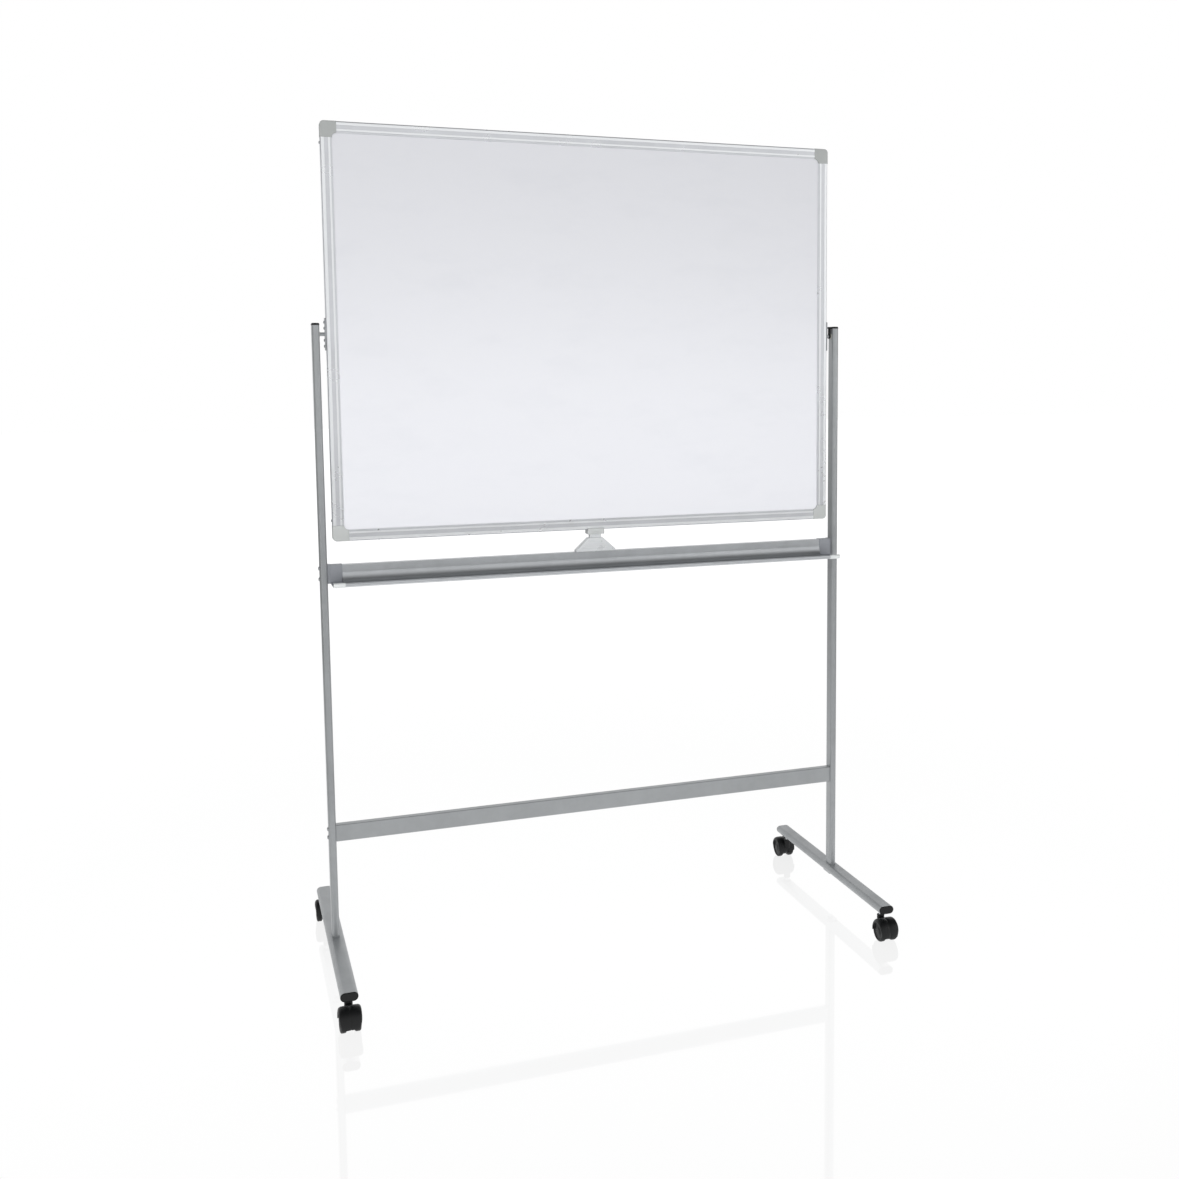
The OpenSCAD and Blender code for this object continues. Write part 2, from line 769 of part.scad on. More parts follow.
// A wheel on the +X side of the web, with a dished outer face and a blind bore
module wheel() {
    edge_r = wheel_edge_r;
    color("#303133") at_axle() rotate([0, 90, 0]) translate([0, 0, wheel_in]) rotate_extrude()
        difference() {
            union() {
                square([wheel_r - edge_r, wheel_w]);
                translate([0, edge_r]) square([wheel_r, wheel_w - 2 * edge_r]);
                for (z = [edge_r, wheel_w - edge_r]) translate([wheel_r - edge_r, z]) circle(edge_r);
            }
            translate([-past, -past])
                square([past + axle_r + running_gap, wheel_w - wheel_wall + past]);
            translate([dish_low, wheel_w - outer_dish_depth]) square([dish_w, outer_dish_depth + past]);
            translate([dish_low, -past]) square([dish_w, inner_dish_depth + past]);
        }
}

// The inner wheel of a left caster is on its +X side, and so is the outer one of a right caster
module wheel_on(side) { if (side > 0) wheel(); else mirror([1, 0, 0]) wheel(); }

module front_left_stem() { at_foot(-1, -1) stem(); }
module front_left_hood() { at_foot(-1, -1) hood(); }
module front_left_axle() { at_foot(-1, -1) axle(); }
module front_left_outer_wheel() { at_foot(-1, -1) wheel_on(-1); }
module front_left_inner_wheel() { at_foot(-1, -1) wheel_on(1); }
module front_right_stem() { at_foot(1, -1) stem(); }
module front_right_hood() { at_foot(1, -1) hood(); }
module front_right_axle() { at_foot(1, -1) axle(); }
module front_right_outer_wheel() { at_foot(1, -1) wheel_on(1); }
module front_right_inner_wheel() { at_foot(1, -1) wheel_on(-1); }
module rear_left_stem() { at_foot(-1, 1) stem(); }
module rear_left_hood() { at_foot(-1, 1) hood(); }
module rear_left_axle() { at_foot(-1, 1) axle(); }
module rear_left_outer_wheel() { at_foot(-1, 1) wheel_on(1); }
module rear_left_inner_wheel() { at_foot(-1, 1) wheel_on(-1); }
module rear_right_stem() { at_foot(1, 1) stem(); }
module rear_right_hood() { at_foot(1, 1) hood(); }
module rear_right_axle() { at_foot(1, 1) axle(); }
module rear_right_outer_wheel() { at_foot(1, 1) wheel_on(-1); }
module rear_right_inner_wheel() { at_foot(1, 1) wheel_on(1); }

left_post();
right_post();
post_caps();
post_inserts();
left_foot();
right_foot();
foot_end_caps();
foot_plates();
foot_bolts();
caster_sockets();
pen_tray();
left_tray_cap();
right_tray_cap();
lip_end_caps();
tray_brackets();
lower_crossbar();
crossbar_plugs();
frame_screws();
pivot_bushes();
latch_housing();
latch_spring();
latch_plunger();
latch_fork();
lock_lever();
board_core();
front_sheet();
back_sheet();
top_rail();
bottom_rail();
left_rail();
right_rail();
top_left_corner();
top_right_corner();
bottom_left_corner();
bottom_right_corner();
corner_screws();
left_pivot_plate();
right_pivot_plate();
pivot_screws();
front_left_stem();
front_left_hood();
front_left_axle();
front_left_outer_wheel();
front_left_inner_wheel();
front_right_stem();
front_right_hood();
front_right_axle();
front_right_outer_wheel();
front_right_inner_wheel();
rear_left_stem();
rear_left_hood();
rear_left_axle();
rear_left_outer_wheel();
rear_left_inner_wheel();
rear_right_stem();
rear_right_hood();
rear_right_axle();
rear_right_outer_wheel();
rear_right_inner_wheel();
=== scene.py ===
"""The rolling whiteboard's looks: materials, moulded detail, light, floor and camera.

Positions are in metres in the CAD frame: +X to the board's right, -Y to the front, +Z up.
"""

import json
import math

import bmesh
import bpy
from mathutils import Matrix, Vector


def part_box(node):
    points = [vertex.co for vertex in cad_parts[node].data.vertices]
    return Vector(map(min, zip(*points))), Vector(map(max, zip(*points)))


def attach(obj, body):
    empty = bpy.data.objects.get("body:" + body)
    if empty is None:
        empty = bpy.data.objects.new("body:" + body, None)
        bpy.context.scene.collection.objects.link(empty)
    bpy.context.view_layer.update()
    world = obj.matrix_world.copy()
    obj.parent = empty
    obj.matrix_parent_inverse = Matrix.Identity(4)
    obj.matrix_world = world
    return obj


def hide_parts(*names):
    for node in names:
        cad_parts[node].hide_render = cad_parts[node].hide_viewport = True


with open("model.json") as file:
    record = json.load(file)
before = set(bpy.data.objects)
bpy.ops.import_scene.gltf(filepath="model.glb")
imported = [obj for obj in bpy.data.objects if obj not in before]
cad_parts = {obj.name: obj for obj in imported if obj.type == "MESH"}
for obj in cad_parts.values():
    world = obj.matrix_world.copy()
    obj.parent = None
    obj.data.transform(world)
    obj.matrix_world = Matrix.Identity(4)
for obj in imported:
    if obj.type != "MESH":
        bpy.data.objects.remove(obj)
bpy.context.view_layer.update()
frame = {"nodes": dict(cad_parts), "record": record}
nodes = frame["nodes"]

MM = 0.001
SIDES = ("left", "right")
ENDS = ("front", "rear")
LEVELS = ("bottom", "top")
CASTERS = [f"{end}_{side}" for end in ENDS for side in SIDES]

# The camera is in front of the stand and left of its middle, and looks right and a little down
EYE = Vector((-0.8521, -3.0185, 1.3561))
YAW = math.radians(20.23)
PITCH = math.radians(-5.83)
ROLL = math.radians(-0.28)
LENS = 40.66
SENSOR = 36.0
SHIFT = (-0.0919, -0.0706)


# ---------------------------------------------------------------- node helpers

def srgb(r, g, b):
    """A display colour, 0 to 255, as the linear colour that shaders use."""
    def linear(value):
        value /= 255
        return value / 12.92 if value <= 0.04045 else ((value + 0.055) / 1.055) ** 2.4
    return (linear(r), linear(g), linear(b), 1.0)


class Nodes:
    """Short ways to add and link the nodes of one material or world."""

    def __init__(self, owner):
        owner.use_nodes = True
        self.tree = owner.node_tree
        self.tree.nodes.clear()

    def add(self, kind, inputs=None, **settings):
        node = self.tree.nodes.new(kind)
        for name, value in settings.items():
            setattr(node, name, value)
        for name, value in (inputs or {}).items():
            socket = node.inputs[name]
            if isinstance(value, bpy.types.NodeSocket):
                self.tree.links.new(value, socket)
            else:
                socket.default_value = value
        return node

    def noise(self, vector, scale, detail=3.0, roughness=0.5):
        found = self.add("ShaderNodeTexNoise", {"Vector": vector, "Scale": scale, "Detail": detail,
                                                "Roughness": roughness})
        return found.outputs["Fac"]

    def remap(self, value, low, high, start=0.0, end=1.0):
        """value, from low..high to start..end, clamped."""
        found = self.add("ShaderNodeMapRange", {"Value": value, "From Min": low, "From Max": high,
                                                "To Min": start, "To Max": end})
        return found.outputs["Result"]

    def mix(self, factor, a, b, blend="MIX"):
        found = self.add("ShaderNodeMix", data_type="RGBA", blend_type=blend)
        for socket, value in ((0, factor), (6, a), (7, b)):
            if isinstance(value, bpy.types.NodeSocket):
                self.tree.links.new(value, found.inputs[socket])
            else:
                found.inputs[socket].default_value = value
        return found.outputs[2]

    def math(self, operation, a, b=0.0):
        found = self.add("ShaderNodeMath", operation=operation)
        for socket, value in ((0, a), (1, b)):
            if isinstance(value, bpy.types.NodeSocket):
                self.tree.links.new(value, found.inputs[socket])
            else:
                found.inputs[socket].default_value = value
        return found.outputs[0]


def tint(colour, factor):
    """colour made lighter or darker."""
    return tuple(min(1.0, channel * factor) for channel in colour[:3]) + (1.0,)


def finish_of(name, colour, roughness, metallic=0.0, grain=900.0, grain_depth=0.04, edge=0.5,
              mottle=0.06, stretch=(1.0, 1.0, 1.0), wear=1.12, dust=0.9, ridge_highlight_groove_shade=None, painted_trough_shade=None,
              shader=None):
    """A material with mottled colour, uneven gloss, a fine surface grain and rubbed soft edges.

    grain is the number of grains in a metre, grain_depth is in millimetres, edge is the radius in
    millimetres that edges are shaded with (0 leaves them alone and spreads the scuffs evenly), and
    stretch scales the grain's coordinates, so that below 1 it is drawn out along that axis.
    ridge_highlight_groove_shade is two distances from the board's middle plane in millimetres:
    below the first the colour is darker, painted shade as in a groove, and above the second it is
    lighter, a painted highlight as on a ridge. painted_trough_shade is a height in metres above
    which the trough has no painted shade, one where its painted shade is darkest, and the Y in
    front of which there is none.
    """
    material = bpy.data.materials.new(name)
    n = Nodes(material)
    place = n.add("ShaderNodeTexCoord").outputs["Object"]
    along = n.add("ShaderNodeMapping", {"Vector": place, "Scale": stretch}).outputs["Vector"]
    patches = n.noise(place, 7.0, 4.0, 0.6)
    specks = n.noise(along, grain, 2.0, 0.55)
    sharp = n.add("ShaderNodeNewGeometry").outputs["Normal"]
    soft, rubbed = sharp, 0.25
    if edge:
        soft = n.add("ShaderNodeBevel", {"Radius": edge * MM}, samples=6).outputs["Normal"]
        facing = n.add("ShaderNodeVectorMath", {0: soft, 1: sharp}, operation="DOT_PRODUCT")
        rubbed = n.remap(facing.outputs["Value"], 0.995, 0.80)
    scuffs = n.math("MULTIPLY", n.remap(n.noise(place, 60.0, 3.0), 0.42, 0.62), rubbed)
    base = n.mix(n.remap(patches, 0.35, 0.65), tint(colour, 1.0 - mottle), tint(colour, 1.0 + mottle))
    base = n.mix(n.remap(specks, 0.3, 0.7, 0.0, 0.5), base, tint(colour, dust))
    base = n.mix(scuffs, base, tint(colour, wear))
    # Painted highlight and shade: the rails' ridges are made lighter and their grooves darker, as light
    # would fall on them
    if ridge_highlight_groove_shade:
        depth = n.math("ABSOLUTE", n.add("ShaderNodeSeparateXYZ", {"Vector": place}).outputs["Y"])
        height = n.remap(depth, ridge_highlight_groove_shade[0] * MM, ridge_highlight_groove_shade[1] * MM)
        base = n.mix(height, n.mix(1.0, base, (0.93, 0.93, 0.95, 1.0), "MULTIPLY"), tint(colour, 1.22))
    # Painted shade: the trough's colour darkens towards its floor, behind its front edge, where shade
    # falls in it
    if painted_trough_shade:
        unshaded, darkest, front = painted_trough_shade
        axes = n.add("ShaderNodeSeparateXYZ", {"Vector": place}).outputs
        level = n.math("ADD", axes["Z"], n.math("MULTIPLY", patches, 4 * MM))
        trough_shade_mask = n.math("MULTIPLY", n.remap(level, unshaded, darkest), n.remap(axes["Y"], front, front + 2 * MM))
        base = n.mix(trough_shade_mask, base, tint(colour, 0.55))
    gloss = n.remap(n.noise(place, 23.0, 4.0), 0.3, 0.7, roughness * 0.88, roughness * 1.14)
    bump = n.add("ShaderNodeBump", {"Strength": 0.35, "Distance": grain_depth * MM, "Height": specks,
                                    "Normal": soft})
    settings = {"Base Color": base, "Roughness": gloss, "Metallic": metallic,
                "Normal": bump.outputs["Normal"]}
    settings.update(shader or {})
    bsdf = n.add("ShaderNodeBsdfPrincipled", settings)
    n.add("ShaderNodeOutputMaterial", {"Surface": bsdf.outputs["BSDF"]})
    return material


def writing_surface(name):
    """Gloss white enamel with a faint bluish cast, slow waviness and wiped-off marks."""
    material = bpy.data.materials.new(name)
    n = Nodes(material)
    place = n.add("ShaderNodeTexCoord").outputs["Object"]
    wiped = n.add("ShaderNodeMapping", {"Vector": place, "Scale": (1.0, 1.0, 2.6),
                                        "Rotation": (0.0, 0.5, 0.0)}).outputs["Vector"]
    smears = n.remap(n.noise(wiped, 5.0, 6.0, 0.62), 0.5, 0.78)
    waves = n.noise(place, 2.4, 1.0)
    peel = n.noise(place, 260.0, 1.0)
    base = n.mix(n.math("MULTIPLY", smears, 0.35), srgb(238, 239, 244), srgb(227, 229, 235))
    gloss = n.remap(smears, 0.0, 1.0, 0.16, 0.24)
    height = n.math("ADD", waves, n.math("MULTIPLY", peel, 0.0015))
    bump = n.add("ShaderNodeBump", {"Strength": 0.25, "Distance": 0.9 * MM, "Height": height})
    bsdf = n.add("ShaderNodeBsdfPrincipled", {"Base Color": base, "Roughness": gloss,
                                              "Normal": bump.outputs["Normal"], "Coat Weight": 0.35,
                                              "Coat Roughness": 0.06})
    n.add("ShaderNodeOutputMaterial", {"Surface": bsdf.outputs["BSDF"]})
    return material


LONG_X = (0.02, 1.0, 1.0)
LONG_Z = (1.0, 1.0, 0.02)
# Distances from the board's middle plane, in millimetres, where the rails' ridges begin and end: below the
# first the rails get painted shade, above the second a painted highlight
RAIL_LIGHT_AND_SHADE = (8.2, 8.9)

tray_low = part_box("pen_tray")[0]
# Where the painted shade in the tray's trough is darkest, where it starts, and the Y in front of which
# there is none
TROUGH_FLOOR = tray_low[2] + 4 * MM
TROUGH_UNSHADED = tray_low[2] + 27 * MM
TROUGH_FRONT = tray_low[1] + 8 * MM

FINISHES = {
    "silver_paint": finish_of("silver_paint", srgb(170, 173, 175), 0.36, metallic=0.6,
                              grain=1500.0, grain_depth=0.03, edge=0.0),
    # The tray's aluminium, with painted shade darkening its trough towards the floor
    "silver_aluminium": finish_of("silver_aluminium", srgb(198, 201, 204), 0.34, metallic=0.75,
                                  grain=2200.0, grain_depth=0.02, edge=0.0, stretch=LONG_X,
                                  painted_trough_shade=(TROUGH_UNSHADED, TROUGH_FLOOR, TROUGH_FRONT)),
    "frame_aluminium": finish_of("frame_aluminium", srgb(226, 228, 230), 0.30, metallic=0.7,
                                 grain=2600.0, grain_depth=0.015, edge=0.0, stretch=LONG_X,
                                 wear=1.05, ridge_highlight_groove_shade=RAIL_LIGHT_AND_SHADE),
    "frame_upright": finish_of("frame_upright", srgb(226, 228, 230), 0.30, metallic=0.7,
                               grain=2600.0, grain_depth=0.015, edge=0.0, stretch=LONG_Z,
                               wear=1.05, ridge_highlight_groove_shade=RAIL_LIGHT_AND_SHADE),
    # tray_cap_plastic and lip_plastic are a darker and a lighter copy of one light grey cap plastic:
    # painted shade on the caps' upright part, a painted highlight on their lip
    "tray_cap_plastic": finish_of("tray_cap_plastic", srgb(158, 161, 167), 0.42, metallic=0.4, edge=0.6),
    "lip_plastic": finish_of("lip_plastic", srgb(222, 225, 225), 0.4, edge=0.8),
    "black_plastic": finish_of("black_plastic", srgb(20, 21, 22), 0.42, edge=0.9, wear=1.9,
                               dust=1.25, grain=1100.0, grain_depth=0.05,
                               shader={"Specular IOR Level": 0.3}),
    "nylon": finish_of("nylon", srgb(222, 222, 214), 0.5),
    "plain_steel": finish_of("plain_steel", srgb(176, 179, 182), 0.3, metallic=0.95, edge=0.3,
                             grain=3000.0, grain_depth=0.01, mottle=0.1),
    "plug_plastic": finish_of("plug_plastic", srgb(110, 112, 114), 0.5),
    "catch_plastic": finish_of("catch_plastic", srgb(228, 231, 233), 0.28, edge=0.7, mottle=0.03,
                               shader={"Transmission Weight": 0.12, "IOR": 1.49}),
    "catch_grey": finish_of("catch_grey", srgb(196, 199, 199), 0.42, edge=0.9),
    "core_board": finish_of("core_board", srgb(190, 160, 118), 0.7, grain=500.0, grain_depth=0.1,
                            mottle=0.14),
    "writing_enamel": writing_surface("writing_enamel"),
    "corner_plastic": finish_of("corner_plastic", srgb(188, 191, 190), 0.42, edge=1.0,
                                grain=1300.0, grain_depth=0.03),
    "caster_chrome": finish_of("caster_chrome", srgb(214, 216, 219), 0.08, metallic=1.0, edge=0.4,
                               grain_depth=0.004, mottle=0.03, dust=0.97),
    "caster_plastic": finish_of("caster_plastic", srgb(20, 21, 22), 0.38, edge=1.0, wear=1.8,
                                dust=1.2, grain=1000.0, grain_depth=0.05,
                                shader={"Specular IOR Level": 0.3}),
    "wheel_plastic": finish_of("wheel_plastic", srgb(20, 21, 22), 0.42, edge=0.8, wear=1.6,
                               dust=1.5, grain=700.0, grain_depth=0.08,
                               shader={"Specular IOR Level": 0.3}),
}
# Nodes whose finish differs from the one of their slot: the brushing runs along a rail, and the
# tray's end plates are coloured like its caps, in the darker copy that carries painted shade
OTHER_FINISHES = {"left_rail": "frame_upright", "right_rail": "frame_upright",
                  "tray_brackets": "tray_cap_plastic"}


def paint_cad_nodes():
    """Gives each CAD node the finish of its material slot."""
    for part in frame["record"]["subparts"]:
        name = part["node"]
        finish = OTHER_FINISHES.get(name, part["material_slot"])
        node = nodes[name]
        node.data.materials.clear()
        node.data.materials.append(FINISHES[finish])


# ---------------------------------------------------------------- mesh helpers

def centre_of(node):
    """The middle of a CAD node's box."""
    low, high = (Vector(corner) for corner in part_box(node))
    return (low + high) / 2


def piece(name, bm, body, finish, replaced=(), sharp=38.0):
    """Makes an object from bm that moves with a CAD body and shows in place of CAD nodes."""
    bmesh.ops.recalc_face_normals(bm, faces=bm.faces)
    mesh = bpy.data.meshes.new(name)
    bm.to_mesh(mesh)
    bm.free()
    mesh.shade_smooth()
    mesh.set_sharp_from_angle(angle=math.radians(sharp))
    mesh.materials.append(FINISHES[finish])
    made = bpy.data.objects.new(name, mesh)
    bpy.context.collection.objects.link(made)
    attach(made, body)
    if replaced:
        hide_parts(*replaced)
    return made


def skin(bm, rings, closed_ring=True, closed_path=False, capped=True):
    """Joins rings of points, which all have the same count, into a surface."""
    made = [[bm.verts.new(point) for point in ring] for ring in rings]
    pairs = list(zip(made, made[1:]))
    if closed_path:
        pairs.append((made[-1], made[0]))
    count = len(made[0])
    for a, b in pairs:
        for j in range(count if closed_ring else count - 1):
            k = (j + 1) % count
            bm.faces.new((a[j], b[j], b[k], a[k]))
    if capped and not closed_path:
        bm.faces.new(made[0])
        bm.faces.new(list(reversed(made[-1])))


def arc(centre, radius, start, end, steps=6):
    """Points of a round stretch in a plane, from one angle to another in degrees."""
    found = []
    for i in range(steps + 1):
        angle = math.radians(start + (end - start) * i / steps)
        found.append((centre[0] + radius * math.cos(angle), centre[1] + radius * math.sin(angle)))
    return found


def turned(bm, profile, place, steps=72):
    """Turns a closed profile of (radius, height) points about a line; place(r, h, angle) puts it."""
    rings = [[place(r, h, 2 * math.pi * i / steps) for r, h in profile] for i in range(steps)]
    skin(bm, rings, closed_path=True)


def softened(points, radius, steps=5):
    """A closed loop of (u, v) points with its corners curved off over radius."""
    found = []
    for i, corner in enumerate(points):
        corner = Vector(corner)
        ends = []
        for other in (points[i - 1], points[(i + 1) % len(points)]):
            away = Vector(other) - corner
            ends.append(corner + away.normalized() * min(radius, away.length * 0.45))
        for step in range(steps + 1):
            t = step / steps
            point = ends[0] * (1 - t) ** 2 + corner * 2 * t * (1 - t) + ends[1] * t ** 2
            found.append((point.x, point.y))
    return found


def shrunk(loop, inset):
    """An anticlockwise loop moved inwards by inset."""
    found = []
    for i, point in enumerate(loop):
        before, after = Vector(loop[i - 1]), Vector(loop[(i + 1) % len(loop)])
        here = Vector(point)
        into, out = (here - before).normalized(), (after - here).normalized()
        a, b = Vector((-into.y, into.x)), Vector((-out.y, out.x))
        moved = here + (a + b) * (inset / (1 + a.dot(b)))
        found.append((moved.x, moved.y))
    return found


def pillow(bm, loop, place, low, high, edge, steps=4):
    """A block with the outline loop from depth low to high, with rounded edges."""
    angles = [math.pi / 2 * i / steps for i in range(steps + 1)]
    turns = [(edge * (1 - math.sin(angle)), edge * (1 - math.cos(angle))) for angle in angles]
    stations = [(inset, low + depth) for inset, depth in turns]
    stations += [(inset, high - depth) for inset, depth in reversed(turns)]
    skin(bm, [[place(u, v, depth) for u, v in shrunk(loop, inset)] for inset, depth in stations])


def islands(name):
    """The boxes of the separate solids in a CAD node."""
    mesh = nodes[name].data
    place = nodes[name].matrix_world
    group = {}

    def root(key):
        while group[key] != key:
            key = group[key]
        return key

    points = [tuple(round(c, 5) for c in place @ vertex.co) for vertex in mesh.vertices]
    for point in points:
        group[point] = point
    for polygon in mesh.polygons:
        first = root(points[polygon.vertices[0]])
        for index in polygon.vertices[1:]:
            group[root(points[index])] = first
    solids = {}
    for point in points:
        solids.setdefault(root(point), []).append(point)
    boxes = []
    for key in sorted(solids):
        columns = list(zip(*solids[key]))
        boxes.append((Vector([min(c) for c in columns]), Vector([max(c) for c in columns])))
    return boxes


# ---------------------------------------------------------------- casters

WHEEL_SHOULDER = 4.2 * MM
GROOVE = 0.45 * MM
RIM = 3.4 * MM
HUB = 8.6 * MM
DISH = 1.5 * MM
WHEEL_BORE = 0.6 * MM


def wheel_profile(radius, width, bore):
    """A wheel's half section from its inner face at 0 to its dished outer face at width."""
    shoulder = radius - WHEEL_SHOULDER
    points = [(bore, 0.0), (shoulder, 0.0)]
    points += arc((shoulder, WHEEL_SHOULDER), WHEEL_SHOULDER, -90, 0)
    for share in (0.4, 0.6):
        middle = width * share
        points += [(radius, middle - 1.4 * GROOVE), (radius - GROOVE, middle - 0.8 * GROOVE),
                   (radius - GROOVE, middle + 0.8 * GROOVE), (radius, middle + 1.4 * GROOVE)]
    points += arc((shoulder, width - WHEEL_SHOULDER), WHEEL_SHOULDER, 0, 80)
    points += [(radius - RIM - 1.2 * MM, width), (radius - RIM - 2.2 * MM, width - DISH),
               (HUB + 1.6 * MM, width - DISH), (HUB, width - 0.4 * MM)]
    points += [(HUB * 0.55, width - 0.1 * MM), (bore, width)]
    return points


def wheel(name):
    """One wheel, its dished face turned away from the caster's middle."""
    low, high = (Vector(corner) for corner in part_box(name))
    middle = (low + high) / 2
    caster = name.rsplit("_", 2)[0]
    outward = 1 if middle.x > centre_of(caster + "_stem").x else -1
    inner_face = low.x if outward > 0 else high.x

    def place(r, h, angle):
        return (inner_face + outward * h, middle.y + r * math.cos(angle), middle.z + r * math.sin(angle))

    bm = bmesh.new()
    turned(bm, wheel_profile((high.z - low.z) / 2, high.x - low.x, WHEEL_BORE), place)
    piece(name + "_tread", bm, name, "wheel_plastic", [name])


# Where the canopy and its bridge to the web begin and end, in degrees about the axle
HOOD_FROM = -24
HOOD_TO = 188
BRIDGE_FROM = 80
BRIDGE_STEP = 10
# How much narrower the canopy's first edge is, and over how many rings that fades
HOOD_TUCK = 0.10
TUCK_RINGS = 7.0
HOOD_INSET = 0.4 * MM
HOOD_SHOULDER = 7.0 * MM
HOOD_WALL = 1.7 * MM
HOOD_CROWN = 0.35 * MM
HOOD_CREASE = 0.9 * MM
SKIRT_DROP = 8.0 * MM
WEB_HALF = 5.4 * MM
WEB_EDGE = 1.2 * MM
AXLE_RADIUS = 3.02 * MM
STEM_RADIUS = 5.05 * MM
BOSS_RADIUS = 8.8 * MM
BOSS_EDGE = 1.4 * MM
BOSS_LOW = 30.0 * MM


def hood_outline(radius, half_w, inset):
    """Round-shouldered section of the canopy, (x, radius) from one skirt to the other."""
    top = radius - inset
    side = half_w - inset
    corner = HOOD_SHOULDER - inset
    crown = HOOD_CROWN if inset == 0 else 0.0
    crease = HOOD_CREASE if inset == 0 else 0.0
    points = [(-side, radius - SKIRT_DROP)]
    points += arc((-side + corner, top - corner), corner, 180, 96, 8)
    points += [(side * share, top + crown * (1 - share * share)) for share in (-0.55, -0.3)]
    points += [(-0.06 * side, top), (0.0, top - crease), (0.06 * side, top)]
    points += [(side * share, top + crown * (1 - share * share)) for share in (0.3, 0.55)]
    points += arc((side - corner, top - corner), corner, 84, 0, 8)
    points += [(side, radius - SKIRT_DROP)]
    return points


def hood(caster):
    """The moulded canopy over the wheels, with the web between them and the boss for the stem."""
    name = caster + "_hood"
    low, high = (Vector(corner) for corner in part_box(name))
    axle = centre_of(caster + "_axle")
    stem = centre_of(caster + "_stem")
    wheel_low, wheel_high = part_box(caster + "_inner_wheel")
    ahead = 1 if axle.y > stem.y else -1
    radius = abs((high.y if ahead > 0 else low.y) - axle.y) - HOOD_INSET
    half_w = (high.x - low.x) / 2
    wheel_r = (wheel_high[2] - wheel_low[2]) / 2

    def place(x, r, angle):
        return (axle.x + x, axle.y + ahead * r * math.cos(angle), axle.z + r * math.sin(angle))

    bm = bmesh.new()
    rings = []
    steps = 44
    for i in range(steps + 1):
        share = i / steps
        angle = math.radians(HOOD_FROM + (HOOD_TO - HOOD_FROM) * share)
        tuck = 1.0 - HOOD_TUCK * math.exp(-((share * steps) / TUCK_RINGS) ** 2)
        outer = [(x * tuck, r) for x, r in hood_outline(radius, half_w, 0.0)]
        inner = [(x * tuck, r) for x, r in hood_outline(radius, half_w, HOOD_WALL)]
        rings.append([place(x, r, angle) for x, r in outer + inner[::-1]])
    skin(bm, rings)

    edge_at = wheel_r - 5.0 * MM - WEB_EDGE
    web = [(edge_at, -WEB_HALF)]
    web += arc((edge_at, -WEB_HALF + WEB_EDGE), WEB_EDGE, -90, 0, 4)
    web += arc((edge_at, WEB_HALF - WEB_EDGE), WEB_EDGE, 0, 90, 4)
    web += [(AXLE_RADIUS, WEB_HALF), (AXLE_RADIUS, -WEB_HALF)]
    turned(bm, web, lambda r, h, angle: place(h, r, angle))
    bridge_low = wheel_r - 10 * MM
    bridge = [(-WEB_HALF, bridge_low), (-WEB_HALF, radius - MM), (WEB_HALF, radius - MM),
              (WEB_HALF, bridge_low)]
    sweep = [math.radians(BRIDGE_FROM + BRIDGE_STEP * i) for i in range(9)]
    skin(bm, [[place(x, r, angle) for x, r in bridge] for angle in sweep])

    top = high.z
    rim = top - BOSS_EDGE
    boss = [(STEM_RADIUS, BOSS_LOW), (BOSS_RADIUS - 0.2 * MM, BOSS_LOW), (BOSS_RADIUS, top - 6 * MM)]
    boss += [(BOSS_RADIUS, rim)] + arc((BOSS_RADIUS - BOSS_EDGE, rim), BOSS_EDGE, 0, 90, 4)
    boss += [(STEM_RADIUS, top)]
    turned(bm, boss, lambda r, h, a: (stem.x + r * math.cos(a), stem.y + r * math.sin(a), h), 48)
    piece(caster + "_canopy", bm, caster + "_caster", "caster_plastic", [name])


# ---------------------------------------------------------------- end caps

def flat_oval(width, height, inset, steps=10):
    """Outline of a flat oval, (x, z) about its middle."""
    radius = height / 2 - inset
    reach = (width - height) / 2
    return arc((reach, 0.0), radius, -90, 90, steps) + arc((-reach, 0.0), radius, 90, 270, steps)


def rounded_rect(width, depth, radius, inset, steps=6):
    """Outline of a round-cornered rectangle, (x, y) about its middle."""
    x = width / 2 - radius
    y = depth / 2 - radius
    corners = ((x, y, 0), (-x, y, 90), (-x, -y, 180), (x, -y, 270))
    found = []
    for cx, cy, start in corners:
        found += arc((cx, cy), radius - inset, start, start + 90, steps)
    return found


# A cap's dome: shares of its height, with the outline's inset in millimetres
DOME = ((0.0, 0.0), (0.35, 0.0), (0.62, 0.25), (0.84, 0.8), (0.96, 1.7), (1.0, 2.8))
POST_CORNER = 6.0 * MM
# The post caps' insets are this share of the feet caps'
POST_ROUNDING = 0.7
# The post caps' skirt in the same terms as DOME: an inset below 0 is larger than the post
COLLAR = ((-1.3, 0.2), (-1.3, -0.45), (-0.1, -0.45))


def foot_caps():
    """Four domed plastic caps that close the feet."""
    bm = bmesh.new()
    cap_low, cap_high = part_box("foot_end_caps")
    for side in SIDES:
        low, high = (Vector(corner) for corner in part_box(side + "_foot"))
        middle = (low + high) / 2
        for tube_end, cap_end in ((low.y, cap_low[1]), (high.y, cap_high[1])):
            rings = []
            for depth, inset in DOME:
                y = tube_end + (cap_end - tube_end) * depth
                outline = flat_oval(high.x - low.x, high.z - low.z, inset * MM)
                rings.append([(middle.x + x, y, middle.z + z) for x, z in outline])
            skin(bm, rings)
    piece("foot_cap_domes", bm, "stand", "black_plastic", ["foot_end_caps"], sharp=50.0)


